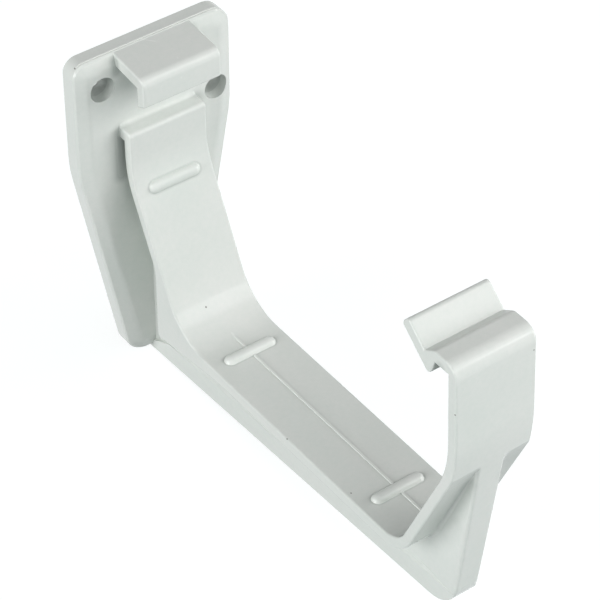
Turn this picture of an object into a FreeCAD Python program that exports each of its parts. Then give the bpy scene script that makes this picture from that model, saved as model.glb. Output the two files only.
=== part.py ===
"""Gutter bracket: one moulded PVC piece that holds a 114 mm square gutter on a fascia board.

Units are millimetres. Z is up, X runs along the gutter, and the gutter side is -Y.
The origin lies on the flat wall face, on the centre line, level with the gutter's seat.
Side profiles are drawn as (depth, height, radius): depth is the distance from the wall.
"""
import FreeCAD
import Part

import math
import os

Vector = FreeCAD.Vector

# Back plate, a shield with straight sides above and tapering sides below.
# A pair of values is for the left and the right side as seen from the gutter.
PLATE_HALF_WIDTH = 20.0
PLATE_TOP = 65.0
PLATE_BOTTOM = -20.95
PLATE_THICKNESS = 5.0
PLATE_HIP_HEIGHTS = (36.3, 39.3)
PLATE_FOOT_HALF_WIDTH = 9.2
PLATE_TOP_RADII = (3.2, 4.8)
PLATE_HIP_RADIUS = 38.0
PLATE_FOOT_RADIUS = 5.4
PLATE_RIM_SETBACK = 1.0
PLATE_RIM_WIDTH = 2.9
PLATE_RIM_RADIUS = 4.0
PLATE_CREASE_BEVEL = 0.35
FLASH_HEIGHT = 0.13
FLASH_DEPTHS = (2.95, 3.25)
FLASH_DROP = 0.7

# Two staggered screw holes, left and right, by their distance from the plate's side and top
SCREW_HOLE_INSETS = (6.5, 4.5)
SCREW_HOLE_DROPS = (7.6, 19.7)
SCREW_HOLE_RADIUS = 3.0

# Strap that carries the gutter, measured on its gutter side
STRAP_WIDTH = 19.8
STRAP_WALL = 2.6
FLOOR_WALL = 3.0
FRONT_SLOPE_WALL = 2.4
SHOULDER_WALL = 2.9
SHELF_TOP = 46.0
BACK_WALL_DEPTH = 9.2
BACK_BEND_HEIGHT = 34.3
BACK_SLOPE_REACH = 16.8
FRONT_SLOPE_REACH = 14.7
FRONT_BEND_HEIGHT = 33.0
GUTTER_SPACE = 113.2
FRONT_WALL_LEAN = 1.1
SHELF_RADIUS = 1.0
BACK_BEND_RADIUS = 20.0
BACK_FLOOR_RADIUS = 14.0
FRONT_FLOOR_RADIUS = 7.5
FRONT_BEND_RADIUS = 28.0
STRAP_EDGE_RADIUS = 0.45
ROOT_RADIUS = 0.9

# Heel that thickens the strap's back corner
HEEL_DEPTH = 16.5
HEEL_BOTTOM = -6.0
HEEL_LENGTH = 23.5
HEEL_TOP_RADIUS = 10.0
HEEL_CORNER_RADIUS = 1.2
HEEL_END_RADIUS = 60.0

# Hook at the top of the front wall
SHOULDER_TOP = 60.1
SHOULDER_REACH = 5.3
SHOULDER_FRONT_RADIUS = 3.4
SHOULDER_BACK_RADIUS = 1.6
CATCH_REACH = 5.1
TONGUE_ANGLE = 41.0
TONGUE_WALL = 3.0
GROOVE_REACH = 3.0
GROOVE_DROP = 1.9
TONGUE_RISE = 6.85
TONGUE_DROP = 4.3
TONGUE_END_RADIUS = 1.0
TONGUE_TIP_RADIUS = 0.9

# Clip at the top of the plate that holds the gutter's back edge
CLIP_WIDTH = 19.8
CLIP_REACH = 15.3
CLIP_ROOF_WALL = 2.6
CLIP_LIP_WALL = 2.7
CLIP_ROOF_FALL = 1.2
CLIP_LIP_BOTTOM = 55.8
CLIP_LIP_BEVEL = 1.3
CLIP_FOLD_RADIUS = 2.0
CLIP_TIP_RADIUS = 0.6

# Rib under the strap, with a flange along its foot
RIB_HALF_WIDTH = 2.3
RIB_ROOT = 0.6
RIB_FRONT_HALF_WIDTHS = (3.2, 3.75)
RIB_FLARE_LEAD = 0.5
RIB_FRONT_PROUD = 0.35
RIB_FRONT_TOP = 29.7
RIB_FRONT_LEAN = 7.6
RIB_FOOT_BACK = -22.1
RIB_FOOT_SLOPE = 2.9
RIB_CORNER_RADIUS = 9.0
RIB_FILLET = 1.2
RIB_FILLET_LEAD = 2.0
RIB_BURIAL = 0.5
RIB_EDGE_RADIUS = 0.7
FLANGE_HEIGHT = 5.2
FLANGE_HALF_WIDTH = 3.3
FLANGE_SETBACK = 4.6
FLANGE_NOSE = 2.6
FLANGE_RUN_IN = 6.0

# Round beads across the strap that the gutter rests on
BEAD_RADIUS = 1.6
BEAD_RISE = 1.2
BEAD_LENGTH = 13.4
BEAD_BACK_GAP = 12.3
BEAD_FRONT_GAP = 12.5
BEAD_SLOPE_DISTANCE = 3.7

# Fine parting line down the middle of the gutter side
PARTING_WIDTH = 0.5
PARTING_HEIGHT = 0.25
PARTING_FRONT_GAP = 4.0

# Places that follow from the sizes above
SCREW_HOLES = ((SCREW_HOLE_INSETS[0] - PLATE_HALF_WIDTH, PLATE_TOP - SCREW_HOLE_DROPS[0]),
               (PLATE_HALF_WIDTH - SCREW_HOLE_INSETS[1], PLATE_TOP - SCREW_HOLE_DROPS[1]))
FRONT_WALL_DEPTH = PLATE_THICKNESS + GUTTER_SPACE
FRONT_FLOOR_DEPTH = FRONT_WALL_DEPTH - FRONT_SLOPE_REACH
BACK_FLOOR_DEPTH = BACK_WALL_DEPTH + BACK_SLOPE_REACH
HEEL_END_DEPTH = HEEL_DEPTH + HEEL_LENGTH
SHOULDER_UNDER = SHOULDER_TOP - SHOULDER_WALL
SHOULDER_BACK_DEPTH = FRONT_WALL_DEPTH - SHOULDER_REACH
CATCH_DEPTH = FRONT_WALL_DEPTH - CATCH_REACH
TONGUE_ROOT = (SHOULDER_BACK_DEPTH - GROOVE_REACH, SHOULDER_TOP - GROOVE_DROP)
FLANGE_END_DEPTH = FRONT_WALL_DEPTH - FLANGE_SETBACK
BEAD_FLOOR_DEPTHS = (BACK_FLOOR_DEPTH + BEAD_BACK_GAP, FRONT_FLOOR_DEPTH - BEAD_FRONT_GAP)


def point(depth, height, across=0.0):
    """A point from its distance off the wall, its height and its place along the gutter."""
    return Vector(across, -depth, height)


def rounded_wire(vertices, closed=True):
    """A wire through corner vectors, each paired with the radius that rounds it."""
    edges, ends = [], []
    count = len(vertices)
    for i, (corner, radius) in enumerate(vertices):
        before = (vertices[i - 1][0] - corner).normalize()
        after = (vertices[(i + 1) % count][0] - corner).normalize()
        if radius <= 0:
            ends.append((corner, corner))
            continue
        half = before.getAngle(after) / 2
        reach = radius / math.tan(half)
        bisector = (before + after).normalize()
        middle = corner + bisector * (radius / math.sin(half) - radius)
        start, stop = corner + before * reach, corner + after * reach
        edges.append(Part.Arc(start, middle, stop).toShape())
        ends.append((start, stop))
    for i in range(count if closed else count - 1):
        start, stop = ends[i][1], ends[(i + 1) % count][0]
        if start.distanceToPoint(stop) > 1e-6:
            edges.append(Part.makeLine(start, stop))
    return Part.Wire(Part.__sortEdges__(edges))


def side_slab(profile, half_width):
    """A side profile of (depth, height, radius) made as thick as the part is wide there."""
    wire = rounded_wire([(point(d, h, -half_width), r) for d, h, r in profile])
    return Part.Face(wire).extrude(Vector(2 * half_width, 0, 0))


def plan_slab(stations, low, high):
    """A plan of (depth, left half width, right half width) stations between two heights."""
    left = [(point(d, low, -w), 0) for d, w, _ in stations]
    right = [(point(d, low, w), 0) for d, _, w in reversed(stations)]
    return Part.Face(rounded_wire(left + right)).extrude(Vector(0, 0, high - low))


def line_crossing(p, u, q, v):
    """Where the line through p along u crosses the line through q along v."""
    share = ((q[0] - p[0]) * v[1] - (q[1] - p[1]) * v[0]) / (u[0] * v[1] - u[1] * v[0])
    return p[0] + u[0] * share, p[1] + u[1] * share


def offset_run(run, walls):
    """Corners of a run moved to its outer side, each segment by its own wall."""
    lines = []
    for (d0, h0), (d1, h1), wall in zip(run, run[1:], walls):
        length = math.hypot(d1 - d0, h1 - h0)
        along = ((d1 - d0) / length, (h1 - h0) / length)
        out = (along[1] * wall, -along[0] * wall)
        lines.append(((d0 + out[0], h0 + out[1]), along, (d1 + out[0], h1 + out[1])))
    corners = [lines[0][0]]
    for (p, u, _), (q, v, _) in zip(lines, lines[1:]):
        corners.append(line_crossing(p, u, q, v))
    return corners + [lines[-1][2]]


def gutter_run():
    """Corners of the strap's gutter side, from the plate down, forward and up the front wall."""
    return [
        (PLATE_THICKNESS, SHELF_TOP),
        (BACK_WALL_DEPTH, SHELF_TOP),
        (BACK_WALL_DEPTH, BACK_BEND_HEIGHT),
        (BACK_FLOOR_DEPTH, 0.0),
        (FRONT_FLOOR_DEPTH, 0.0),
        (FRONT_WALL_DEPTH, FRONT_BEND_HEIGHT),
        (FRONT_WALL_DEPTH - FRONT_WALL_LEAN, SHOULDER_UNDER),
    ]


RUN_RADII = (ROOT_RADIUS, SHELF_RADIUS, BACK_BEND_RADIUS, BACK_FLOOR_RADIUS,
             FRONT_FLOOR_RADIUS, FRONT_BEND_RADIUS, 0)


def run_walls(share=1.0):
    """Wall of each segment of the gutter run, or a share of it."""
    return [w * share for w in (STRAP_WALL, STRAP_WALL, STRAP_WALL, FLOOR_WALL,
                                FRONT_SLOPE_WALL, STRAP_WALL)]


def along_tongue(distance, lift):
    """A point measured from the tongue's groove, up its slope and square to it."""
    angle = math.radians(TONGUE_ANGLE)
    depth = TONGUE_ROOT[0] - math.cos(angle) * distance + math.sin(angle) * lift
    height = TONGUE_ROOT[1] + math.sin(angle) * distance + math.cos(angle) * lift
    return depth, height


def hook_profile():
    """Corners of the tongue and shoulder, from the catch round to the front of the shoulder."""
    tongue = [
        (*along_tongue(-TONGUE_DROP, -TONGUE_WALL), TONGUE_TIP_RADIUS),
        (*along_tongue(TONGUE_RISE, -TONGUE_WALL), TONGUE_END_RADIUS),
        (*along_tongue(TONGUE_RISE, 0.0), TONGUE_END_RADIUS),
        (*TONGUE_ROOT, 0),
        (SHOULDER_BACK_DEPTH, SHOULDER_TOP, SHOULDER_BACK_RADIUS),
    ]
    tip = (*along_tongue(-TONGUE_DROP, -TONGUE_WALL / 2), TONGUE_TIP_RADIUS)
    return [(CATCH_DEPTH, SHOULDER_UNDER, 0), tip] + tongue


def strap_profile():
    """Closed side profile of the strap, with its heel and its hook."""
    run = gutter_run()
    outer = offset_run(run, run_walls())
    gutter_side = [(d, h, r) for (d, h), r in zip(run, RUN_RADII)]
    root = [(PLATE_THICKNESS / 2, SHELF_TOP + 2 * ROOT_RADIUS, 0),
            (PLATE_THICKNESS, SHELF_TOP + 2 * ROOT_RADIUS, 0)]
    slope_top, slope_foot = outer[2], outer[3]
    slope = (slope_foot[0] - slope_top[0], slope_foot[1] - slope_top[1])
    heel_top = line_crossing(slope_top, slope, (HEEL_DEPTH, 0.0), (0.0, 1.0))
    wall_top = line_crossing(outer[5], (outer[6][0] - outer[5][0], outer[6][1] - outer[5][1]),
                             (0.0, SHOULDER_TOP), (1.0, 0.0))
    outside = [
        (*wall_top, SHOULDER_FRONT_RADIUS),
        (*outer[5], FRONT_BEND_RADIUS + STRAP_WALL),
        (*outer[4], FRONT_FLOOR_RADIUS + STRAP_WALL),
        (HEEL_END_DEPTH, outer[4][1], HEEL_END_RADIUS),
        (HEEL_DEPTH, HEEL_BOTTOM, HEEL_CORNER_RADIUS),
        (*heel_top, HEEL_TOP_RADIUS),
        (*slope_top, BACK_BEND_RADIUS + STRAP_WALL),
        (*outer[1], 0),
        (PLATE_THICKNESS / 2, outer[1][1], 0),
    ]
    return root + gutter_side + hook_profile() + outside


def ease_sides(solid, half_width, radius):
    """Round the long edges where a slab's side faces end, but not those inside the plate."""
    edges = []
    for edge in solid.Edges:
        box = edge.BoundBox
        on_side = min(abs(box.XMin - s) + abs(box.XMax - s) for s in (-half_width, half_width))
        if on_side < 1e-6 and box.YMax < -PLATE_THICKNESS + 1e-6:
            edges.append(edge)
    return solid.makeFillet(radius, edges)


def make_strap():
    """The strap with its eased side edges."""
    half = STRAP_WIDTH / 2
    return ease_sides(side_slab(strap_profile(), half), half, STRAP_EDGE_RADIUS)


def edges_at(plate, depth):
    """Edges that lie flat at a distance from the wall."""
    return [e for e in plate.Edges
            if abs(e.BoundBox.YMax + depth) < 1e-6 and abs(e.BoundBox.YMin + depth) < 1e-6]


def plate_wire():
    """The plate's outline in the wall plane."""
    foot, top = PLATE_BOTTOM, PLATE_TOP
    left, right = [[(side * PLATE_HALF_WIDTH, top, corner),
                    (side * PLATE_HALF_WIDTH, hip, PLATE_HIP_RADIUS),
                    (side * PLATE_FOOT_HALF_WIDTH, foot, PLATE_FOOT_RADIUS)]
                   for side, corner, hip in zip((-1, 1), PLATE_TOP_RADII, PLATE_HIP_HEIGHTS)]
    return rounded_wire([(point(0, h, x), r) for x, h, r in right + left[::-1]])


def make_flash():
    """The fine ridge that the mould's halves leave along the plate's top."""
    back, front = FLASH_DEPTHS
    wire = plate_wire().makeOffset2D(FLASH_HEIGHT)
    wire.translate(point(back, 0))
    ring = Part.Face(wire).extrude(Vector(0, back - front, 0))
    top = Part.makeBox(3 * PLATE_HALF_WIDTH, PLATE_THICKNESS, 2 * FLASH_DROP,
                       Vector(-1.5 * PLATE_HALF_WIDTH, -PLATE_THICKNESS, PLATE_TOP - FLASH_DROP))
    return ring.common(top)


def make_plate():
    """The back plate, its front face sloping softly back to a bevelled crease all round."""
    plate = Part.Face(plate_wire()).extrude(Vector(0, -PLATE_THICKNESS, 0))
    sloped = plate.makeChamfer(PLATE_RIM_SETBACK, PLATE_RIM_WIDTH, edges_at(plate, PLATE_THICKNESS))
    soft = sloped.makeFillet(PLATE_RIM_RADIUS, edges_at(sloped, PLATE_THICKNESS))
    crease = edges_at(soft, PLATE_THICKNESS - PLATE_RIM_SETBACK)
    return soft.makeChamfer(PLATE_CREASE_BEVEL, crease)


def make_clip():
    """The roof and lip that hook over the gutter's back edge."""
    under = PLATE_TOP - CLIP_ROOF_WALL
    fold = PLATE_TOP - CLIP_ROOF_FALL
    inner = CLIP_REACH - CLIP_LIP_WALL
    profile = [
        (PLATE_THICKNESS / 2, PLATE_TOP, 0),
        (CLIP_REACH, fold, CLIP_FOLD_RADIUS),
        (CLIP_REACH, CLIP_LIP_BOTTOM + CLIP_LIP_BEVEL, CLIP_TIP_RADIUS),
        (inner, CLIP_LIP_BOTTOM, 0),
        (inner, fold - CLIP_ROOF_WALL, 0),
        (PLATE_THICKNESS / 2, under, 0),
    ]
    half = CLIP_WIDTH / 2
    return ease_sides(side_slab(profile, half), half, STRAP_EDGE_RADIUS)


def rib_foot(depth):
    """Height of the rib's foot at a distance from the wall."""
    return RIB_FOOT_BACK + math.tan(math.radians(RIB_FOOT_SLOPE)) * depth


def rib_front_top():
    """Top of the rib's front face, a little proud of the strap's front slope."""
    outer = offset_run(gutter_run(), run_walls())
    along = (outer[5][0] - outer[4][0], outer[5][1] - outer[4][1])
    depth = line_crossing(outer[4], along, (0.0, RIB_FRONT_TOP), (1.0, 0.0))[0]
    return depth + RIB_FRONT_PROUD, RIB_FRONT_TOP


def rib_profile():
    """Side profile of the rib, with its top buried in the middle of the strap's wall."""
    buried = offset_run(gutter_run(), run_walls(0.5))
    lean = math.tan(math.radians(RIB_FRONT_LEAN))
    slope = math.tan(math.radians(RIB_FOOT_SLOPE))
    corner = line_crossing(rib_front_top(), (-lean, -1.0), (0.0, RIB_FOOT_BACK), (1.0, slope))
    outline = [(0.0, RIB_FOOT_BACK), corner, rib_front_top()]
    outline += [buried[i] for i in (5, 4, 3, 2, 1)] + [(0.0, buried[1][1])]
    return [(d, h, RIB_CORNER_RADIUS if i == 1 else 0) for i, (d, h) in enumerate(outline)]


def rib_half_widths(depth):
    """Left and right half widths of the rib, even at first and flared towards the front."""
    start, stop = FRONT_FLOOR_DEPTH + RIB_FLARE_LEAD, rib_front_top()[0]
    share = min(max((depth - start) / (stop - start), 0.0), 1.0)
    return [RIB_HALF_WIDTH + (wide - RIB_HALF_WIDTH) * share for wide in RIB_FRONT_HALF_WIDTHS]


def rib_front(height):
    """Depth of the rib's front face at a height."""
    top_depth, top = rib_front_top()
    return top_depth - math.tan(math.radians(RIB_FRONT_LEAN)) * (top - height)


def ease_front(rib):
    """Round the long edges of the rib's front face and of its lower corner."""
    edges = []
    for edge in rib.Edges:
        box = edge.BoundBox
        middle = box.Center
        in_front = -middle.y > rib_front(middle.z) - RIB_CORNER_RADIUS / 2
        if in_front and box.XLength < 1.0 and edge.Length > RIB_CORNER_RADIUS:
            edges.append(edge)
    return rib.makeFillet(RIB_EDGE_RADIUS, edges)


def make_rib():
    """The rib under the strap, flared towards its front edge."""
    wide = side_slab(rib_profile(), PLATE_HALF_WIDTH)
    root = RIB_HALF_WIDTH + RIB_ROOT
    stations = [0.0, PLATE_THICKNESS, PLATE_THICKNESS + RIB_ROOT, FRONT_FLOOR_DEPTH + RIB_FLARE_LEAD,
                rib_front_top()[0], FRONT_WALL_DEPTH + STRAP_WALL]
    plan = plan_slab([(depth, *((root, root) if depth <= PLATE_THICKNESS else rib_half_widths(depth)))
                      for depth in stations], RIB_FOOT_BACK, PLATE_TOP)
    return ease_front(wide.common(plan))


def underside_path():
    """The strap's underside on the centre plane, sinking into its wall at the front bend."""
    outer = offset_run(gutter_run(), run_walls())
    buried = offset_run(gutter_run(), run_walls(0.5))
    heel_end = (HEEL_END_DEPTH, outer[4][1])
    share = RIB_FILLET_LEAD / HEEL_LENGTH
    start = (HEEL_DEPTH + RIB_FILLET_LEAD, HEEL_BOTTOM + share * (heel_end[1] - HEEL_BOTTOM))
    corners = [(start, 0), (heel_end, HEEL_END_RADIUS),
               (outer[4], FRONT_FLOOR_RADIUS + STRAP_WALL), (buried[5], 0)]
    return rounded_wire([(point(*place), radius) for place, radius in corners], closed=False)


def fillet_section(path, side):
    """Hollow fillet between rib and strap, drawn square to the start of the path."""
    start, following = path.Edges[0].Vertexes[0].Point, path.Edges[0].Vertexes[1].Point
    along = (following - start).normalize()
    down = Vector(0, -along.z, along.y)

    def place(across, drop):
        return start + Vector(side * across, 0, 0) + down * drop

    inner, outer = RIB_HALF_WIDTH - RIB_BURIAL, RIB_HALF_WIDTH + RIB_FILLET
    bulge = RIB_FILLET * (1 - math.sqrt(0.5))
    arc = Part.Arc(place(outer, 0), place(RIB_HALF_WIDTH + bulge, bulge),
                   place(RIB_HALF_WIDTH, RIB_FILLET)).toShape()
    corners = [place(RIB_HALF_WIDTH, RIB_FILLET), place(inner, RIB_FILLET),
               place(inner, -RIB_BURIAL), place(outer, -RIB_BURIAL), place(outer, 0)]
    return Part.Wire([arc] + [Part.makeLine(a, b) for a, b in zip(corners, corners[1:])])


def make_rib_fillets():
    """The hollow fillets on both sides of the rib, kept inside the rib's own outline."""
    path = underside_path()
    limit = side_slab(rib_profile(), PLATE_HALF_WIDTH)
    return [path.makePipeShell([fillet_section(path, side)], True, False).common(limit)
            for side in (-1, 1)]


def make_flange():
    """The wider flange along the rib's foot, fading into the flared rib in front."""
    top = FLANGE_HEIGHT
    strip = [
        (0.0, RIB_FOOT_BACK, 0),
        (FLANGE_END_DEPTH, rib_foot(FLANGE_END_DEPTH), 0),
        (FLANGE_END_DEPTH, rib_foot(FLANGE_END_DEPTH) + top, 0),
        (PLATE_THICKNESS + FLANGE_RUN_IN, rib_foot(PLATE_THICKNESS + FLANGE_RUN_IN) + top,
         FLANGE_RUN_IN),
        (PLATE_THICKNESS, rib_foot(PLATE_THICKNESS) + FLANGE_NOSE, 0),
        (0.0, RIB_FOOT_BACK + FLANGE_NOSE, 0),
    ]
    wide = side_slab(strip, PLATE_HALF_WIDTH)
    plan = plan_slab([(0.0, FLANGE_HALF_WIDTH, FLANGE_HALF_WIDTH),
                      (FLANGE_END_DEPTH, *rib_half_widths(FLANGE_END_DEPTH))], RIB_FOOT_BACK, 0.0)
    rounded = side_slab(rib_profile(), PLATE_HALF_WIDTH)
    return wide.common(plan).common(rounded)


def make_bead(depth, height):
    """A round-ended bead across the strap, centred at a depth and height."""
    half = BEAD_LENGTH / 2 - BEAD_RADIUS
    start, stop = point(depth, height, -half), point(depth, height, half)
    body = Part.makeCylinder(BEAD_RADIUS, 2 * half, start, Vector(1, 0, 0))
    return body.fuse([Part.makeSphere(BEAD_RADIUS, start), Part.makeSphere(BEAD_RADIUS, stop)])


def make_beads():
    """The bead on the back slope and the two on the floor."""
    bend, foot = gutter_run()[2], gutter_run()[3]
    length = math.hypot(foot[0] - bend[0], foot[1] - bend[1])
    along = ((foot[0] - bend[0]) / length, (foot[1] - bend[1]) / length)
    lift = BEAD_RISE - BEAD_RADIUS
    slope = (bend[0] + along[0] * BEAD_SLOPE_DISTANCE - along[1] * lift,
             bend[1] + along[1] * BEAD_SLOPE_DISTANCE + along[0] * lift)
    return [make_bead(*slope)] + [make_bead(d, lift) for d in BEAD_FLOOR_DEPTHS]


def make_parting_line():
    """The fine ridge down the middle of the floor."""
    start, end = BACK_FLOOR_DEPTH, FRONT_FLOOR_DEPTH - PARTING_FRONT_GAP
    low = -FLOOR_WALL / 2
    ridge = [(start, low), (end, low), (end, PARTING_HEIGHT), (start, PARTING_HEIGHT)]
    return side_slab([(d, h, 0) for d, h in ridge], PARTING_WIDTH / 2)


def drill_screw_holes(bracket):
    """Cut the staggered screw holes through the plate."""
    bores = [Part.makeCylinder(SCREW_HOLE_RADIUS, PLATE_THICKNESS + 2.0,
                               point(-1.0, height, across), Vector(0, -1, 0))
             for across, height in SCREW_HOLES]
    return bracket.cut(bores)


def make_bracket():
    """The whole moulding as one solid."""
    body = make_plate().fuse([make_flash(), make_strap(), make_clip(), make_rib(), make_flange()])
    body = body.fuse(make_rib_fillets())
    body = body.fuse(make_beads() + [make_parting_line()]).removeSplitter()
    return drill_screw_holes(body)


def main():
    """Build the bracket and write its STEP file."""
    os.makedirs("parts", exist_ok=True)
    bracket = make_bracket()
    solid = bracket.Solids[0]
    print("solids", len(bracket.Solids), "valid", bracket.isValid(), "volume", round(solid.Volume))
    solid.exportStep("parts/gutter_bracket.step")


main()
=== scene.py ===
"""Gutter bracket: the finish of the one moulded piece, its studio and its camera.

Lengths are in metres, in the frame of the CAD model: +Z up, -Y from the wall to the
gutter, X along the gutter, the origin on the wall face and level with the gutter's seat.
The forms and the marks of the moulding are written in millimetres, as across (X), depth
(-Y) and height (Z), and become metres where they are built.

The bracket is one moulded piece. Its own solid stays as it is and gets a finish of glossy
PVC, with the marks of its mould, painted shade in its creases, hollows and screw holes and on
the front slope right of the rib, and painted highlights along its flash, parting and weld
lines. The scene adds the soft forms of that same moulding: the fillets beside the rib's front
end, the crease across the front wall, the slopes above the flange and the draft of the two
screw holes.
"""
import logging
import math
from abc import ABC, abstractmethod
from dataclasses import dataclass, field
from enum import Enum, IntEnum

import bpy
import numpy as np
from mathutils import Matrix, Vector


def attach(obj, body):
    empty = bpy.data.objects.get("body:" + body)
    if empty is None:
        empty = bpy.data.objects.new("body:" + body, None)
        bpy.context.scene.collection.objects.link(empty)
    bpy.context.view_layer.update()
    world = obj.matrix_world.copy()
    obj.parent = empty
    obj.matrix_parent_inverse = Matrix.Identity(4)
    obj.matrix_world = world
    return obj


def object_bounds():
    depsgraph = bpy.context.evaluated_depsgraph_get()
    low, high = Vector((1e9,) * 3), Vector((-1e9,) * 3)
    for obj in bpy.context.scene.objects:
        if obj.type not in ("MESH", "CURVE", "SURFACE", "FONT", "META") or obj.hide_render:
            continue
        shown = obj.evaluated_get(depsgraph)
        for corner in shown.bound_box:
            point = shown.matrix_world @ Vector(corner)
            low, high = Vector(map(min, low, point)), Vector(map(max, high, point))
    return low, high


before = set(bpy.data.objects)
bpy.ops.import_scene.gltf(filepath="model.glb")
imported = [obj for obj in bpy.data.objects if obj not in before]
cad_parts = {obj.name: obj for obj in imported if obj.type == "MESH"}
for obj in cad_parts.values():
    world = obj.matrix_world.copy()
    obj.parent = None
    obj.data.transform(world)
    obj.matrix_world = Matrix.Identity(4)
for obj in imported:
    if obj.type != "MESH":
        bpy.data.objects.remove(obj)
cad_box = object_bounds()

log = logging.getLogger("gutter_bracket")

MM = 0.001
BODY = "root"
BRACKET_NODE = "gutter_bracket"
IMAGE_SIDE = 600
WHITE = (1.0, 1.0, 1.0, 1.0)

Color = tuple[int, int, int]
Place = tuple[float, float, float]
Values = float | np.ndarray

# Sizes of the bracket that its marks and its soft forms share, in millimetres
STRAP_HALF_WIDTH = 9.9
PLATE_FACE = 5.0
UPPER_HOLE = (-13.5, 57.4)
LOWER_HOLE = (15.5, 45.3)


class SocketKind(Enum):
    """Kinds of socket that the node groups use."""

    COLOR = "NodeSocketColor"
    FLOAT = "NodeSocketFloat"
    VECTOR = "NodeSocketVector"


class MixSocket(IntEnum):
    """Places of a Mix node's sockets, whose names aren't unique."""

    VALUE_OUT = 0
    VALUE_A = 2
    VALUE_B = 3
    COLOR_OUT = 2
    COLOR_A = 6
    COLOR_B = 7


def linear(channel: float) -> float:
    """The linear value of one sRGB channel between 0 and 1."""
    return channel / 12.92 if channel <= 0.04045 else ((channel + 0.055) / 1.055) ** 2.4


def paint(red: int, green: int, blue: int) -> tuple[float, float, float, float]:
    """A linear colour with alpha from three sRGB values between 0 and 255."""
    return (*(linear(c / 255) for c in (red, green, blue)), 1.0)


def in_metres(place: Place) -> Place:
    """A place given as across, depth and height in millimetres, in the frame of the model."""
    across, depth, height = place
    return across * MM, -depth * MM, height * MM


def smooth_step(share: np.ndarray) -> np.ndarray:
    """The smooth step u^2 (3 - 2 u), with u the share kept between 0 and 1."""
    u = np.clip(share, 0.0, 1.0)
    return u ** 2 * (3 - 2 * u)


@dataclass
class TreeBuilder:
    """A shader node tree under construction."""

    tree: bpy.types.NodeTree

    def node(self, kind: str, **settings: object) -> bpy.types.Node:
        """Add a node and set its own properties.

        Args:
            kind: the node's type.
            settings: its properties by name.

        Returns:
            The node.
        """
        made = self.tree.nodes.new(kind)
        for key, value in settings.items():
            setattr(made, key, value)
        return made

    def feed(self, target: bpy.types.NodeSocket, value: object) -> None:
        """Give an input its value.

        Args:
            target: the input.
            value: a plain value, or another node's socket to link from.
        """
        if isinstance(value, bpy.types.NodeSocket):
            self.tree.links.new(value, target)
        else:
            target.default_value = value

    def group(self, shared: bpy.types.NodeTree, **values: object) -> bpy.types.Node:
        """Place a node group and feed its inputs.

        Args:
            shared: the group.
            values: its inputs by name, sockets or plain values.

        Returns:
            The node that stands for the group.
        """
        made = self.node("ShaderNodeGroup", node_tree=shared)
        for key, value in values.items():
            self.feed(made.inputs[key], value)
        return made

    def math(self, operation: str, *operands: object, clamp: bool = False) -> bpy.types.NodeSocket:
        """Add a Math node.

        Args:
            operation: what it computes.
            operands: sockets or numbers, in the order of its inputs.
            clamp: whether the result is kept between 0 and 1.

        Returns:
            The result's socket.
        """
        made = self.node("ShaderNodeMath", operation=operation, use_clamp=clamp)
        for target, operand in zip(made.inputs, operands):
            self.feed(target, operand)
        return made.outputs[0]

    def vector(self, operation: str, first: bpy.types.NodeSocket,
               second: bpy.types.NodeSocket) -> bpy.types.Node:
        """Add a Vector Math node.

        Args:
            operation: what it computes.
            first: the first vector's socket.
            second: the second vector's socket.

        Returns:
            The node, whose result is a vector or a value.
        """
        made = self.node("ShaderNodeVectorMath", operation=operation)
        self.feed(made.inputs[0], first)
        self.feed(made.inputs[1], second)
        return made

    def noise(self, vector: bpy.types.NodeSocket, scale: object, detail: float,
              roughness: float = 0.5) -> bpy.types.NodeSocket:
        """Add a noise texture.

        Args:
            vector: the coordinates' socket.
            scale: the noise's scale, a socket or a number.
            detail: how many finer layers it has.
            roughness: how strong the finer layers are.

        Returns:
            The noise value's socket.
        """
        made = self.node("ShaderNodeTexNoise")
        for key, value in (("Vector", vector), ("Scale", scale), ("Detail", detail),
                           ("Roughness", roughness)):
            self.feed(made.inputs[key], value)
        return made.outputs["Fac"]

    def spread(self, value: bpy.types.NodeSocket, start: tuple[object, object],
               end: tuple[float, float] = (0.0, 1.0),
               smooth: bool = False) -> bpy.types.NodeSocket:
        """Map a value from one range to another.

        Args:
            value: the value's socket.
            start: the ends of the range it comes from, sockets or numbers.
            end: the ends of the range it goes to.
            smooth: whether it eases in and out.

        Returns:
            The result's socket.
        """
        made = self.node("ShaderNodeMapRange",
                         interpolation_type="SMOOTHSTEP" if smooth else "LINEAR")
        for key, given in (("Value", value), ("From Min", start[0]), ("From Max", start[1]),
                           ("To Min", end[0]), ("To Max", end[1])):
            self.feed(made.inputs[key], given)
        return made.outputs["Result"]

    def mix_colors(self, share: bpy.types.NodeSocket, under: bpy.types.NodeSocket,
                   over: object) -> bpy.types.NodeSocket:
        """Lay a colour over another by a mask.

        Args:
            share: the mask's socket.
            under: the socket of the colour below.
            over: the colour on top, a socket or a plain colour.

        Returns:
            The result's socket.
        """
        mix = self.node("ShaderNodeMix", data_type="RGBA")
        self.feed(mix.inputs["Factor"], share)
        self.feed(mix.inputs[MixSocket.COLOR_A], under)
        self.feed(mix.inputs[MixSocket.COLOR_B], over)
        return mix.outputs[MixSocket.COLOR_OUT]

    def seen(self) -> bpy.types.NodeSocket:
        """A value that is 1 for the camera and in reflections, and 0 for other light."""
        rays = self.node("ShaderNodeLightPath")
        return self.math("MAXIMUM", rays.outputs["Is Camera Ray"], rays.outputs["Is Glossy Ray"])


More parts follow.
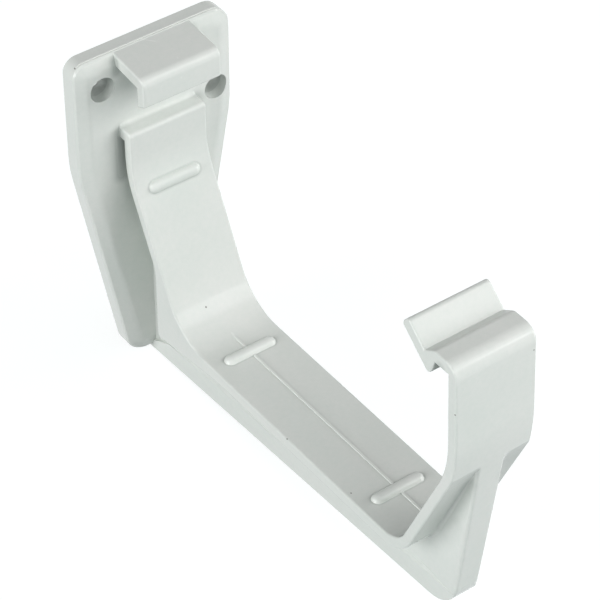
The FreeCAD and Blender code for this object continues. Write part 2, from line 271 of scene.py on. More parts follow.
class GroupBuilder(TreeBuilder):
    """A shader node group under construction."""

    def __init__(self, name: str) -> None:
        """Make the empty group with its input and output nodes.

        Args:
            name: the group's name.
        """
        super().__init__(bpy.data.node_groups.new(name, "ShaderNodeTree"))
        self.start = self.tree.nodes.new("NodeGroupInput")
        self.end = self.tree.nodes.new("NodeGroupOutput")

    def socket(self, name: str, kind: SocketKind, way: str = "INPUT",
               default: object = None) -> None:
        """Add a named socket to the group.

        Args:
            name: the socket's name.
            kind: what the socket carries.
            way: INPUT or OUTPUT.
            default: the value an input has when nothing is set.
        """
        made = self.tree.interface.new_socket(name=name, in_out=way, socket_type=kind.value)
        if default is not None:
            made.default_value = default


def specks_group() -> bpy.types.NodeTree:
    """A group that scatters sparse round specks.

    Space is cut into cells of one over the scale. A cell holds a speck where its random
    value is under the share, and the speck is a ball of a given size round the cell's
    own random point, with a soft edge half as wide as that size.

    Returns:
        The group, with the mask of the specks as its output.
    """
    soft_reach = 1.5
    group = GroupBuilder("sparse_specks")
    group.socket("Vector", SocketKind.VECTOR)
    group.socket("Scale", SocketKind.FLOAT, default=150.0)
    group.socket("Share", SocketKind.FLOAT, default=0.03)
    group.socket("Size", SocketKind.FLOAT, default=0.03)
    group.socket("Mask", SocketKind.FLOAT, "OUTPUT")
    given = group.start.outputs
    cells = group.node("ShaderNodeTexVoronoi", feature="F1")
    group.feed(cells.inputs["Vector"], given["Vector"])
    group.feed(cells.inputs["Scale"], given["Scale"])
    chance = group.node("ShaderNodeSeparateColor")
    group.feed(chance.inputs["Color"], cells.outputs["Color"])
    chosen = group.math("LESS_THAN", chance.outputs["Red"], given["Share"])
    nearness = group.math("DIVIDE", cells.outputs["Distance"], given["Size"])
    fade = group.math("SUBTRACT", soft_reach, nearness, clamp=True)
    group.feed(group.end.inputs["Mask"], group.math("MULTIPLY", chosen, fade))
    return group.tree


def mottle_group() -> bpy.types.NodeTree:
    """A group that drifts between two close tints, as pigment does in a moulding.

    The tint follows a slow noise stretched along the flow from the plate to the front,
    with a share of a finer noise.

    Returns:
        The group, with the tinted colour as its output.
    """
    flow_stretch = (1.0, 0.35, 0.8)
    fine_scale, fine_share = 900.0, 0.35
    tint_range = (0.34, 0.66)
    group = GroupBuilder("pigment_mottle")
    group.socket("Vector", SocketKind.VECTOR)
    group.socket("Light", SocketKind.COLOR)
    group.socket("Dark", SocketKind.COLOR)
    group.socket("Scale", SocketKind.FLOAT, default=60.0)
    group.socket("Color", SocketKind.COLOR, "OUTPUT")
    given = group.start.outputs
    stretch = group.node("ShaderNodeMapping")
    stretch.inputs["Scale"].default_value = flow_stretch
    group.feed(stretch.inputs["Vector"], given["Vector"])
    slow = group.noise(stretch.outputs["Vector"], given["Scale"], detail=3.0)
    fine = group.noise(given["Vector"], fine_scale, detail=2.0, roughness=0.6)
    both = group.math("MULTIPLY_ADD", fine, fine_share,
                      group.math("MULTIPLY", slow, 1 - fine_share))
    share = group.spread(both, tint_range)
    group.feed(group.end.inputs["Color"], group.mix_colors(share, given["Dark"], given["Light"]))
    return group.tree


def crease_group() -> bpy.types.NodeTree:
    """A group that marks the surface within reach of a straight line.

    The distance d from the point p to the line from a to b is the length of
    p - a - h (b - a), where h is (p - a).(b - a) / (b - a).(b - a) kept between 0 and 1.
    The mask is 0 up to the core radius, 1 from there and fades to 0 from near to far.

    Returns:
        The group, with the mask as its output.
    """
    group = GroupBuilder("crease_mask")
    for name in ("Vector", "Start", "End"):
        group.socket(name, SocketKind.VECTOR)
    for name in ("Core", "Near", "Far"):
        group.socket(name, SocketKind.FLOAT, default=0.0)
    group.socket("Mask", SocketKind.FLOAT, "OUTPUT")
    given = group.start.outputs
    reach = group.vector("SUBTRACT", given["Vector"], given["Start"]).outputs["Vector"]
    line = group.vector("SUBTRACT", given["End"], given["Start"]).outputs["Vector"]
    along = group.vector("DOT_PRODUCT", reach, line).outputs["Value"]
    square = group.vector("DOT_PRODUCT", line, line).outputs["Value"]
    nearest = group.node("ShaderNodeVectorMath", operation="SCALE")
    group.feed(nearest.inputs["Vector"], line)
    group.feed(nearest.inputs["Scale"], group.math("DIVIDE", along, square, clamp=True))
    gap = group.vector("DISTANCE", reach, nearest.outputs["Vector"]).outputs["Value"]
    beyond = group.math("GREATER_THAN", gap, given["Core"])
    fade = group.spread(gap, (given["Near"], given["Far"]), (1.0, 0.0), smooth=True)
    group.feed(group.end.inputs["Mask"], group.math("MULTIPLY", beyond, fade))
    return group.tree


def grain_group() -> bpy.types.NodeTree:
    """A group for the skin that a polished but worn steel mould gives PVC.

    The height is a fine spark-eroded grain, a soft orange peel and the slow waviness of
    shrinkage, added in given heights.

    Returns:
        The group, with the height in metres and a mask of the fine grain as outputs.
    """
    fine_scale, peel_scale, wave_scale = 4500.0, 700.0, 70.0
    group = GroupBuilder("moulded_grain")
    group.socket("Vector", SocketKind.VECTOR)
    for name in ("Fine", "Peel", "Wave"):
        group.socket(name, SocketKind.FLOAT)
    group.socket("Height", SocketKind.FLOAT, "OUTPUT")
    group.socket("Mask", SocketKind.FLOAT, "OUTPUT")
    given = group.start.outputs
    fine = group.noise(given["Vector"], fine_scale, detail=2.0, roughness=0.55)
    peel = group.noise(given["Vector"], peel_scale, detail=1.0)
    wave = group.noise(given["Vector"], wave_scale, detail=1.0)
    height = group.math("MULTIPLY", fine, given["Fine"])
    height = group.math("MULTIPLY_ADD", peel, given["Peel"], height)
    height = group.math("MULTIPLY_ADD", wave, given["Wave"], height)
    group.feed(group.end.inputs["Height"], height)
    group.feed(group.end.inputs["Mask"], fine)
    return group.tree


@dataclass(frozen=True)
class Mark:
    """A line that marks the surface near it, in millimetres."""

    start: Place
    end: Place
    far: float
    strength: float
    near: float = 0.0
    core: float = 0.0


def bead_foot_shade(depth: float, height: float) -> Mark:
    """Painted shade at the foot of a round-ended bead whose axis lies at a depth and height."""
    half_length = 5.1
    return Mark((-half_length, depth, height), (half_length, depth, height),
                core=1.605, near=1.62, far=2.2, strength=0.22)


def bore_wall_shade(hole: tuple[float, float], depth: float, strength: float) -> Mark:
    """Painted shade on the wall of a screw hole, from behind the plate up to a depth."""
    across, height = hole
    return Mark((across, -1.0, height), (across, depth, height),
                near=3.01, far=3.25, strength=strength)


def speck(across: float, depth: float, height: float, size: float = 0.2) -> Mark:
    """A single dark speck at a place on the surface."""
    length = 0.1
    return Mark((across, depth, height), (across, depth + length, height),
                near=size / 2, far=size, strength=0.8)


# Painted shade: a darker colour in creases, hollows and screw holes and on the front slope.
BEAD_FOOT_SHADE = (bead_foot_shade(10.47, 30.80), bead_foot_shade(38.3, -0.4), bead_foot_shade(91.0, -0.4))
BORE_SHADE = tuple(bore_wall_shade(hole, depth, strength) for hole in (UPPER_HOLE, LOWER_HOLE)
                   for depth, strength in ((4.9, 0.1), (1.2, 0.35)))
# Painted shade in the crevices where the strap and the clip meet the plate.
STRAP_ROOT_SHADE = tuple(
    Mark((side * STRAP_HALF_WIDTH, PLATE_FACE, 44.4), (side * STRAP_HALF_WIDTH, 5.6, 33.0),
         far=3.2, strength=0.45) for side in (-1, 1))
CLIP_ROOT_SHADE = tuple(
    Mark((side * STRAP_HALF_WIDTH, PLATE_FACE, 63.2), (side * STRAP_HALF_WIDTH, PLATE_FACE, 60.5),
         far=2.0, strength=0.4) for side in (-1, 1))
# Painted shade in the pockets beside the rib's front end.
FRONT_POCKET_SHADE = (
    Mark((-3.0, 108.0, 4.0), (-3.2, 117.2, 24.8), far=2.8, strength=0.22),
    Mark((-2.7, 109.2, 4.5), (-2.9, 112.5, 10.0), far=6.0, strength=0.16),
    Mark((3.2, 108.0, 4.0), (3.6, 117.2, 24.8), far=2.8, strength=0.32),
)
RIGHT_SLOPE_SHADE = (
    Mark((7.5, 119.6, 26.6), (7.5, 109.4, 3.4), near=3.2, far=3.8, strength=0.4),
    Mark((5.7, 119.6, 29.2), (12.0, 119.6, 29.2), near=1.4, far=1.8, strength=0.4),
)
# Painted shade along the hook's groove.
HOOK_GROOVE_SHADE = (
    Mark((-9.0, 115.0, 57.0), (9.0, 115.0, 57.0), near=0.6, far=2.4, strength=0.4),
)
PAINTED_SHADE_LINES = (*BEAD_FOOT_SHADE, *BORE_SHADE, *STRAP_ROOT_SHADE, *CLIP_ROOT_SHADE,
               *FRONT_POCKET_SHADE, *RIGHT_SLOPE_SHADE, *HOOK_GROOVE_SHADE)
SPECK_MARKS = (
    speck(-2.11, 24.65, 4.30, 0.26),
    speck(-9.74, 65.30, -0.10),
    speck(-8.62, 86.30, 0.0),
    speck(-18.90, 3.13, 64.37, 0.24),
    speck(-9.88, 119.75, 48.78),
    speck(9.15, 119.80, 55.16),
)
# Painted highlights along the real flash, parting and weld lines; the roof scratch is a real paler
# mark.
FLASH_LINE_HIGHLIGHT = Mark((-18.4, 3.1, 65.08), (17.2, 3.1, 65.08), near=0.1, far=0.26, strength=0.8)
PARTING_LINE_HIGHLIGHT = Mark((0.0, 27.0, 0.2), (0.0, 99.5, 0.2), near=0.2, far=0.34, strength=0.5)
ROOF_SCRATCH = Mark((-2.3, 3.4, 65.0), (-0.2, 5.6, 64.7), near=0.05, far=0.22, strength=0.6)
CLIP_WELD_LINE_HIGHLIGHT = Mark((0.8, 12.4, 64.1), (-0.3, 15.3, 61.0), far=0.4, strength=0.3)
HIGHLIGHT_AND_SCRATCH_LINES = (FLASH_LINE_HIGHLIGHT, PARTING_LINE_HIGHLIGHT, ROOF_SCRATCH, CLIP_WELD_LINE_HIGHLIGHT)


@dataclass(frozen=True)
class MouldedPvc:
    """The glossy grey-white PVC that the bracket is moulded from, with painted shade and
    highlights.
    """

    name: str = "moulded_pvc"
    light: Color = (227, 230, 226)
    dark: Color = (219, 225, 220)
    speck: Color = (92, 92, 84)
    # Colour of the painted shade in creases and hollows.
    painted_shade: Color = (104, 118, 112)
    # Colour of the painted highlights along moulded lines and of the scratch on the roof.
    pale: Color = (240, 243, 240)
    smooth_roughness: float = 0.08
    rough_roughness: float = 0.13
    # Roughness where the painted shade lies.
    painted_shade_roughness: float = 0.6
    specular: float = 0.5
    fine: float = 1.0e-6
    peel: float = 2.0e-6
    wave: float = 1.5e-5

    def build(self) -> bpy.types.Material:
        """Make the material.

        Returns:
            The material, ready to be put on an object.
        """
        material = bpy.data.materials.new(self.name)
        material.use_nodes = True
        builder = TreeBuilder(material.node_tree)
        shader = builder.tree.nodes["Principled BSDF"]
        shader.inputs["Specular IOR Level"].default_value = self.specular
        place = builder.node("ShaderNodeTexCoord").outputs["Object"]
        mottle = builder.group(mottle_group(), Vector=place, Light=paint(*self.light),
                               Dark=paint(*self.dark))
        specks = builder.group(specks_group(), Vector=place)
        grain = builder.group(grain_group(), Vector=place, Fine=self.fine, Peel=self.peel,
                              Wave=self.wave)
        lines = crease_group()
        # Masks of the painted shade, of the painted highlights with the roof scratch, and of the
        # specks.
        shade_mask = self.joined_marks(builder, place, lines, PAINTED_SHADE_LINES)
        pale = self.joined_marks(builder, place, lines, HIGHLIGHT_AND_SCRATCH_LINES)
        dotted = self.joined_marks(builder, place, lines, SPECK_MARKS)
        color = mottle.outputs["Color"]
        for share, over in ((specks.outputs["Mask"], self.speck), (shade_mask, self.painted_shade),
                            (pale, self.pale), (dotted, self.speck)):
            color = builder.mix_colors(share, color, paint(*over))
        builder.feed(shader.inputs["Base Color"], color)
        sheen = builder.spread(grain.outputs["Mask"], (0.0, 1.0),
                               (self.smooth_roughness, self.rough_roughness))
        # The surface is also rougher under the painted shade.
        dull = builder.node("ShaderNodeMix")
        builder.feed(dull.inputs["Factor"], shade_mask)
        builder.feed(dull.inputs[MixSocket.VALUE_A], sheen)
        builder.feed(dull.inputs[MixSocket.VALUE_B], self.painted_shade_roughness)
        builder.feed(shader.inputs["Roughness"], dull.outputs[MixSocket.VALUE_OUT])
        bump = builder.node("ShaderNodeBump")
        bump.inputs["Distance"].default_value = 1.0
        builder.feed(bump.inputs["Height"], grain.outputs["Height"])
        builder.feed(shader.inputs["Normal"], bump.outputs["Normal"])
        return material

    def joined_marks(self, builder: TreeBuilder, place: bpy.types.NodeSocket,
                     shared: bpy.types.NodeTree,
                     marks: tuple[Mark, ...]) -> bpy.types.NodeSocket:
        """Join the masks of some marks, the strongest of them at each point.

        Args:
            builder: the builder of the material's tree.
            place: the point's coordinates.
            shared: the group that masks one mark.
            marks: the marks to join.

        Returns:
            The joined mask's socket.
        """
        joined = None
        for mark in marks:
            node = builder.group(shared, Vector=place, Start=in_metres(mark.start),
                                 End=in_metres(mark.end), Core=mark.core * MM,
                                 Near=mark.near * MM, Far=mark.far * MM)
            weighed = builder.math("MULTIPLY", node.outputs["Mask"], mark.strength)
            joined = builder.math("MAXIMUM", joined, weighed) if joined else weighed
        return joined


def add_surface(name: str, grid: np.ndarray, material: bpy.types.Material,
                flip: bool) -> bpy.types.Object:
    """Make a smooth surface piece from a grid of points.

    Args:
        name: the piece's name.
        grid: rows by columns by 3, in millimetres as across, depth and height.
        material: its finish.
        flip: whether the faces turn their other side out.

    Returns:
        The piece, which rides on the bracket's body.
    """
    rows, columns, _ = grid.shape
    points = grid.reshape(-1, 3) * np.array((MM, -MM, MM))
    first = (np.arange(rows - 1)[:, None] * columns + np.arange(columns - 1)[None, :]).ravel()
    quads = first[:, None] + np.array((0, 1, columns + 1, columns))
    if flip:
        quads = quads[:, ::-1]
    mesh = bpy.data.meshes.new(name)
    mesh.vertices.add(len(points))
    mesh.vertices.foreach_set("co", points.astype(np.float32).ravel())
    mesh.loops.add(quads.size)
    mesh.loops.foreach_set("vertex_index", quads.astype(np.int32).ravel())
    mesh.polygons.add(len(quads))
    mesh.polygons.foreach_set("loop_start", np.arange(0, quads.size, 4, dtype=np.int32))
    mesh.polygons.foreach_set("use_smooth", np.ones(len(quads), dtype=bool))
    mesh.update(calc_edges=True)
    mesh.validate()
    mesh.materials.append(material)
    piece = bpy.data.objects.new(name, mesh)
    bpy.context.scene.collection.objects.link(piece)
    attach(piece, BODY)
    log.info("%s: %d faces", name, len(quads))
    return piece


@dataclass(frozen=True)
class FrontShape:
    """Sizes of the bracket's front end that the soft forms follow, in millimetres."""

    slope_foot: tuple[float, float] = (98.232, 7.1)
    slope_foot_radius: float = 10.1
    slope_angle: float = 65.99
    slope_length: float = 27.0
    bend_center: tuple[float, float] = (89.909, 38.795)
    bend_radius: float = 30.6
    rib_top: tuple[float, float] = (119.707, 29.7)
    rib_lean: float = 7.6
    rib_half_width: float = 2.3
    front_half_widths: tuple[float, float] = (3.2, 3.75)
    flare_start: float = 104.0

    @property
    def slope_fall(self) -> float:
        """Depth that the slope's outside gains with each millimetre of height."""
        return math.tan(math.radians(90 - self.slope_angle))

    @property
    def front_fall(self) -> float:
        """Depth that the rib's front face gains with each millimetre of height."""
        return math.tan(math.radians(self.rib_lean))

    @property
    def slope_head(self) -> float:
        """Height at which the slope's straight outside ends and the bend's arc begins."""
        return self.bend_center[1] - self.bend_radius * math.cos(math.radians(self.slope_angle))

    @property
    def crease_height(self) -> float:
        """Height at which the lines of the slope and of the rib's front face meet."""
        gap = self.rib_depth(0.0) - self.slope_depth(0.0)
        return gap / (self.slope_fall - self.front_fall)

    def half_width(self, depth: np.ndarray, side: int) -> np.ndarray:
        """Half width of the rib, which flares evenly from the flare's start to its front.

        Args:
            depth: the depths where it is taken.
            side: the left (-1) or the right (1) of the rib.

        Returns:
            The half widths at these depths.
        """
        wide = self.front_half_widths[(side + 1) // 2]
        share = np.clip((depth - self.flare_start) / (self.rib_top[0] - self.flare_start), 0, 1)
        return self.rib_half_width + (wide - self.rib_half_width) * share

    def bend_depth(self, height: Values) -> Values:
        """Depth of the bend's outside at some heights, c + sqrt(R^2 - (z - h)^2)."""
        center, level = self.bend_center
        return center + np.sqrt(self.bend_radius ** 2 - (height - level) ** 2)

    def slope_depth(self, height: Values) -> Values:
        """Depth of the slope's outside, c + R / cos a - (h - z) tan a with a its lean.

        Args:
            height: the heights z.

        Returns:
            The depths at these heights.
        """
        center, level = self.bend_center
        reach = self.bend_radius * math.hypot(1.0, self.slope_fall)
        return center + reach - self.slope_fall * (level - height)

    def rib_depth(self, height: Values) -> Values:
        """Depth of the rib's front face at some heights."""
        depth, top = self.rib_top
        return depth + self.front_fall * (height - top)


@dataclass
class SoftForm(ABC):
    """A soft form of the moulding, laid over the solid as a surface piece."""

    name: str

    @property
    def flipped(self) -> bool:
        """Whether the surface's faces turn their other side out."""
        return False

    @abstractmethod
    def surface(self) -> np.ndarray:
        """Points of the form, rows by columns by 3, in millimetres."""

    def build(self, material: bpy.types.Material) -> bpy.types.Object:
        """Make the form's piece."""
        return add_surface(self.name, self.surface(), material, self.flipped)


@dataclass
class SidedForm(SoftForm):
    """A soft form on the left (-1) or on the right (1) of the rib."""

    side: int
    shape: FrontShape = field(default_factory=FrontShape)

    @property
    def flipped(self) -> bool:
        """Whether the surface's faces turn their other side out, as on the left."""
        return self.side < 0


@dataclass
class PocketFillet(SidedForm):
    """The hollow fillet between the rib's side and the strap's underside at the front."""

    radius: float = 1.26
    end_radius: float = 0.2
    overlap: float = 0.25
    burial: float = 0.02
    foot_rows: int = 17
    slope_rows: int = 25
    columns: int = 11

    def surface(self) -> np.ndarray:
        """Points of the fillet.

        The path follows the underside round the slope's foot, an arc of given radius, and
        then straight up the slope. At each step a quarter circle of radius r, measured
        from the rib's side w, gives the place across w + r - r sin(phi) and the drop
        below the underside r - r cos(phi), with phi from 0 to 90 degrees. One end of the
        quarter runs on a little along the underside, the other along the rib's side.

        Returns:
            A grid of points along the path and round the quarter circle.
        """
        shape = self.shape
        turn = np.radians(np.linspace(0.0, shape.slope_angle, self.foot_rows))
        arc = np.stack((np.sin(turn), -np.cos(turn)), 1)
        curve = np.array(shape.slope_foot) + shape.slope_foot_radius * arc
        run = np.linspace(0.0, shape.slope_length, self.slope_rows)[1:, None]
        along = np.array((-arc[-1][1], arc[-1][0]))
        path = np.concatenate((curve, curve[-1] + run * along))
        down = np.concatenate((arc, np.repeat(arc[-1:], len(run), axis=0)))
        step = np.linspace(0.0, 1.0, len(path))[:, None]
        radius = self.radius + (self.end_radius - self.radius) * step ** 2
        phi = np.linspace(0.0, math.pi / 2, self.columns)[None, :]
        wide = shape.half_width(path[:, 0], self.side)[:, None]
        across = wide + radius - radius * np.sin(phi)
        drop = radius - radius * np.cos(phi)
        across = np.concatenate((across[:, :1] + self.overlap, across,
                                 across[:, -1:] - self.burial), axis=1)
        drop = np.concatenate((drop[:, :1] - self.burial, drop, drop[:, -1:] + self.overlap),
                              axis=1)
        grid = path[:, None, :] + down[:, None, :] * drop[:, :, None]
        return np.concatenate((self.side * across[:, :, None], grid), axis=2)


@dataclass
class FrontWallCrease(SoftForm):
    """The crease across the front wall's outside, where the rib's front face leaves it."""

    shape: FrontShape = field(default_factory=FrontShape)
    half_width: float = STRAP_HALF_WIDTH
    side_radius: float = 0.45
    rise: float = 6.5
    softness: float = 0.12
    rib_edge: float = 0.7
    lap: float = 0.5
    burial: float = 0.03
    foot_lap: float = 0.4
    foot_fade: float = 1.6
    head_fade: float = 0.2
    rows: int = 61
    crease_rows: int = 21
    crease_reach: float = 0.5
    lap_step: float = 0.02
    edge_columns: int = 9
    side_columns: int = 7

    def heights(self) -> np.ndarray:
        """Heights of the rows, close together at the crease and at the rib's top.

        Returns:
            The heights from low to high, each of them once.
        """
        crease, top = self.shape.crease_height, self.shape.rib_top[1]
        lap = top - self.lap
        return np.unique(np.concatenate((
            np.linspace(self.shape.slope_head - self.foot_lap, crease + self.rise, self.rows),
            np.linspace(crease - self.crease_reach, crease + self.crease_reach,
                        self.crease_rows),
            (lap - self.lap_step, lap, top))))

    def profiles(self, z: np.ndarray) -> tuple[np.ndarray, np.ndarray]:
        """Depths beside the rib and on it.

        Below the crease the form keeps to the slope's straight line. Above it the form
        stands proud of the bend's arc by a cubic that starts with the depth and lean of the
        rib's front face and ends flush. Both meet in the smooth minimum m - w k^2 / 4,
        where m is the lesser of both, w the softness and k = 1 - |difference| / w, not
        below 0. On the rib the front face goes on down to the lap.

        Args:
            z: the heights.

        Returns:
            The depths at these heights, first beside the rib and then on it.
        """
        shape = self.shape
        crease, top = shape.crease_height, shape.rib_top[1]
        center, level = shape.bend_center
        bend_fall = (level - crease) / (shape.bend_depth(crease) - center)
        proud = shape.rib_depth(crease) - shape.bend_depth(crease)
        tilt = (shape.front_fall - bend_fall) * self.rise
        s = np.clip((z - crease) / self.rise, 0.0, 1.0)
        gap = (2 * s ** 3 - 3 * s ** 2 + 1) * proud + (s ** 3 - 2 * s ** 2 + s) * tilt
        slope = shape.slope_depth(z)
        face = np.where(z > crease, shape.bend_depth(z) + gap, shape.rib_depth(z))
        near = np.clip(1 - np.abs(face - slope) / self.softness, 0.0, 1.0)
        beside = np.minimum(face, slope) - self.softness / 4 * near ** 2
        on_rib = np.where(z < top - self.lap, beside, face - self.burial * (z < top))
        low = 1 - (z - z[0]) / self.foot_fade
        high = 1 - (1 - s) / self.head_fade
        sunk = self.burial * smooth_step(np.maximum(low, high))
        return beside - sunk, on_rib - sunk

    def surface(self) -> np.ndarray:
        """Points of the crease.

        The depth goes from beside the rib to on it by a smooth step over the rib's edge,
        and rounds the strap's long edges by r - sqrt(r^2 - t^2), t being the way into the
        rounding. A last column on each side lies inside the strap.

        Returns:
            A grid of points up the wall and across the strap.
        """
        z = self.heights()
        beside, on_rib = self.profiles(z)
        left, right = self.shape.front_half_widths
        quarter = np.linspace(0, math.pi / 2, self.side_columns)
        side = self.half_width - self.side_radius * (1 - np.sin(quarter))
        x = np.concatenate((-side[::-1], np.linspace(-left, self.rib_edge - left,
                                                     self.edge_columns),
                            np.linspace(right - self.rib_edge, right, self.edge_columns), side))
        middle, half = (right - left) / 2, (left + right) / 2
        on = smooth_step((half - np.abs(x - middle)) / self.rib_edge)
        turn = np.clip(np.abs(x) - self.half_width + self.side_radius, 0.0, self.side_radius)
        drop = self.side_radius - np.sqrt(self.side_radius ** 2 - turn ** 2)
        depth = beside[:, None] + (on_rib - beside)[:, None] * on[None, :] - drop[None, :]
        inner = (np.minimum(self.shape.bend_depth(z), depth[:, 0]) - self.side_radius
                 - self.burial)[:, None]
        depth = np.concatenate((inner, depth, inner), axis=1)
        hidden = self.half_width - self.burial
        x = np.concatenate(((-hidden,), x, (hidden,)))
        return np.stack(np.broadcast_arrays(x[None, :], depth, z[:, None]), axis=2)


@dataclass
class FlangeFillet(SidedForm):
    """The slope between the rib's side and the top of the flange along its foot."""

    run: tuple[float, float] = (11.6, 112.0)
    lead: float = 3.0
    flange_half_width: float = 3.3
    flange_taper: float = 0.004
    ledge_height: float = -16.92
    ledge_rise: float = 0.0507
    burial: float = 0.04
    cover: float = 0.01
    rows: int = 73
    columns: int = 5

    def surface(self) -> np.ndarray:
        """Points of the slope.

        At each depth it runs at 45 degrees from the flange's long edge up to the rib's side,
        after a lead at the plate's end over which it rises from the ledge. Where the flared
        rib swallows the flange, the slope ends inside the rib.

        Returns:
            A grid of points along the rib and up the slope.
        """
        depth = np.linspace(*self.run, self.rows)
        outer = self.flange_half_width - self.flange_taper * depth
        rib = self.shape.half_width(depth, self.side)
        width = np.clip(outer - rib, 0.0, None) + self.burial
        t = np.linspace(0.0, 1.0, self.columns)
        across = self.side * (outer[:, None] + self.cover - width[:, None] * t)
        rise = width * np.clip((depth - self.run[0]) / self.lead, 0.0, 1.0)
        ledge = self.ledge_height + self.ledge_rise * depth
        height = ledge[:, None] + rise[:, None] * t
        return np.stack(np.broadcast_arrays(across, depth[:, None], height), axis=2)


@dataclass
class BoreDraft(SoftForm):
    """The tapered wall of a screw hole, narrower towards the wall side."""

    hole: tuple[float, float]
    front_depth: float = 4.4
    front_radius: float = 3.003
    back_depth: float = 0.06
    back_radius: float = 2.44
    turns: int = 65
    columns: int = 7

    def surface(self) -> np.ndarray:
        """Points of the draft.

        A cone from the bore's radius near the front to a smaller one at the back, then a
        flat ring out to the bore's wall again.

        Returns:
            A grid of points round the hole and through the plate.
        """
        turn = np.linspace(0.0, 2 * math.pi, self.turns)[:, None]
        depth = np.append(np.linspace(self.front_depth, self.back_depth, self.columns),
                          self.back_depth)[None, :]
        radius = np.append(np.linspace(self.front_radius, self.back_radius, self.columns),
                           self.front_radius)[None, :]
        across = self.hole[0] + radius * np.cos(turn)
        height = self.hole[1] + radius * np.sin(turn)
        return np.stack(np.broadcast_arrays(across, depth, height), axis=2)


@dataclass
class Moulding:
    """The bracket itself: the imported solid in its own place, with its soft forms."""

    finish: MouldedPvc = field(default_factory=MouldedPvc)
    forms: tuple[SoftForm, ...] = (
        PocketFillet("pocket_fillet_left", -1),
        PocketFillet("pocket_fillet_right", 1),
        FrontWallCrease("front_wall_crease"),
        FlangeFillet("flange_fillet_left", -1),
        FlangeFillet("flange_fillet_right", 1),
        BoreDraft("upper_hole_draft", UPPER_HOLE),
        BoreDraft("lower_hole_draft", LOWER_HOLE),
    )

    def build(self) -> None:
        """Give the solid its finish and add the soft forms."""
        material = self.finish.build()
        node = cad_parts[BRACKET_NODE]
        for place in node.material_slots:
            place.material = material
        log.info("%s: %d faces dressed", BRACKET_NODE, len(node.data.polygons))
        for form in self.forms:
            form.build(material)


@dataclass(frozen=True)
class LampSpec:
    """A square soft lamp: where it stands, how large it is and how strong."""

    name: str
    place: Place
    side: float
    power: float


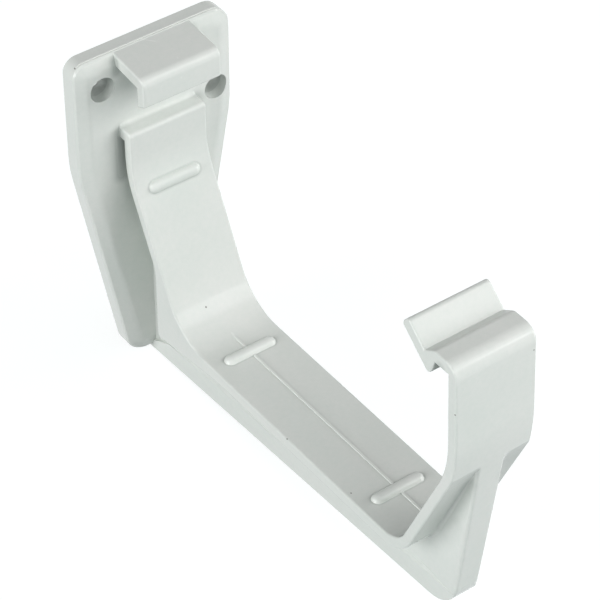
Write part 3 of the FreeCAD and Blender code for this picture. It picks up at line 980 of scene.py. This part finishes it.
@dataclass
class Studio:
    """A pale floor, soft lamps and a white surround."""

    target: Place = (0.0, -0.06, 0.02)
    floor_side: float = 6.0
    floor_tint: Color = (128, 139, 139)
    floor_roughness: float = 0.9
    floor_lift: float = 0.88
    world_strength: float = 0.04
    lamps: tuple[LampSpec, ...] = (
        LampSpec("left_lamp", (-1.352, -0.06, 0.382), 1.2, 20.4),
        LampSpec("right_lamp", (1.171, -0.736, 0.382), 1.2, 16.2),
        LampSpec("front_lamp", (0.0, -1.412, 0.382), 1.2, 7.4),
        LampSpec("upper_lamp", (0.0, -0.960, 1.092), 1.2, 3.0),
        LampSpec("gloss_lamp", (0.660, -0.905, 0.920), 0.65, 1.9),
    )

    def build(self) -> None:
        """Make the floor, the lamps and the surround."""
        self.make_floor()
        for spec in self.lamps:
            self.make_lamp(spec)
        self.make_world()
        bpy.context.scene.view_settings.view_transform = "Standard"
        log.info("studio: floor, %d lamps, white surround", len(self.lamps))

    def make_floor(self) -> None:
        """A square floor under the object's lowest point, which keeps its shadow."""
        low = cad_box[0].z
        half = self.floor_side / 2
        mesh = bpy.data.meshes.new("floor")
        mesh.from_pydata([(-half, -half, low), (half, -half, low), (half, half, low),
                          (-half, half, low)], [], [(0, 1, 2, 3)])
        floor = bpy.data.objects.new("floor", mesh)
        bpy.context.scene.collection.objects.link(floor)
        mesh.materials.append(self.floor_material())

    def floor_material(self) -> bpy.types.Material:
        """Make the floor's finish, a matt grey that light bounces off but weakly.

        Its own light lifts it to white for the camera and in reflections.

        Returns:
            The material.
        """
        material = bpy.data.materials.new("floor_white")
        material.use_nodes = True
        builder = TreeBuilder(material.node_tree)
        shader = builder.tree.nodes["Principled BSDF"]
        lift = builder.math("MULTIPLY", builder.seen(), self.floor_lift)
        for key, value in (("Base Color", paint(*self.floor_tint)),
                           ("Roughness", self.floor_roughness), ("Specular IOR Level", 0.0),
                           ("Emission Color", WHITE), ("Emission Strength", lift)):
            builder.feed(shader.inputs[key], value)
        return material

    def make_lamp(self, spec: LampSpec) -> None:
        """Make a square area lamp that faces the object.

        Args:
            spec: the lamp's place, size and power.
        """
        data = bpy.data.lights.new(spec.name, "AREA")
        data.shape = "SQUARE"
        data.size = spec.side
        data.energy = spec.power
        lamp = bpy.data.objects.new(spec.name, data)
        bpy.context.scene.collection.objects.link(lamp)
        toward = Vector(self.target) - Vector(spec.place)
        lamp.location = spec.place
        lamp.rotation_euler = toward.to_track_quat("-Z", "Y").to_euler()

    def make_world(self) -> None:
        """A surround that lights the object softly and is plain white to the camera."""
        world = bpy.data.worlds.new("surround")
        bpy.context.scene.world = world
        world.use_nodes = True
        builder = TreeBuilder(world.node_tree)
        background = builder.tree.nodes["Background"]
        strength = builder.spread(builder.seen(), (0.0, 1.0), (self.world_strength, 1.0))
        builder.feed(background.inputs["Color"], WHITE)
        builder.feed(background.inputs["Strength"], strength)


@dataclass(frozen=True)
class CameraFit:
    """The photograph's camera, solved from the edges of the bracket."""

    place: Place = (-0.269292, -0.423003, 0.428616)
    azimuth: float = 36.3305
    elevation: float = 41.3881
    roll: float = -0.0941
    focal_pixels: float = 2900.0
    sensor: float = 36.0
    clip: tuple[float, float] = (0.01, 20.0)

    def axes(self) -> Matrix:
        """Work out the camera's axes from its azimuth, elevation and roll.

        Returns:
            The right, up and back axes as the columns of a matrix.
        """
        azimuth, elevation, roll = map(math.radians, (self.azimuth, self.elevation, self.roll))
        back = Vector((-math.sin(azimuth) * math.cos(elevation),
                       -math.cos(azimuth) * math.cos(elevation), math.sin(elevation)))
        right = Vector((math.cos(azimuth), -math.sin(azimuth), 0.0))
        up = back.cross(right)
        turn = Matrix.Rotation(roll, 3, back)
        return Matrix((turn @ right, turn @ up, back)).transposed()

    def build(self) -> None:
        """Make the camera and set it as the scene's."""
        data = bpy.data.cameras.new("photo_camera")
        data.sensor_width = self.sensor
        data.lens = self.focal_pixels / IMAGE_SIDE * self.sensor
        data.clip_start, data.clip_end = self.clip
        camera = bpy.data.objects.new("photo_camera", data)
        bpy.context.scene.collection.objects.link(camera)
        camera.matrix_world = Matrix.Translation(self.place) @ self.axes().to_4x4()
        bpy.context.scene.camera = camera
        log.info("camera: %.0f mm lens", data.lens)


def main() -> None:
    """Dress the bracket and set up its studio and camera."""
    logging.basicConfig(level=logging.INFO, format="%(name)s %(message)s")
    Moulding().build()
    Studio().build()
    CameraFit().build()


if __name__ == "__main__":
    main()
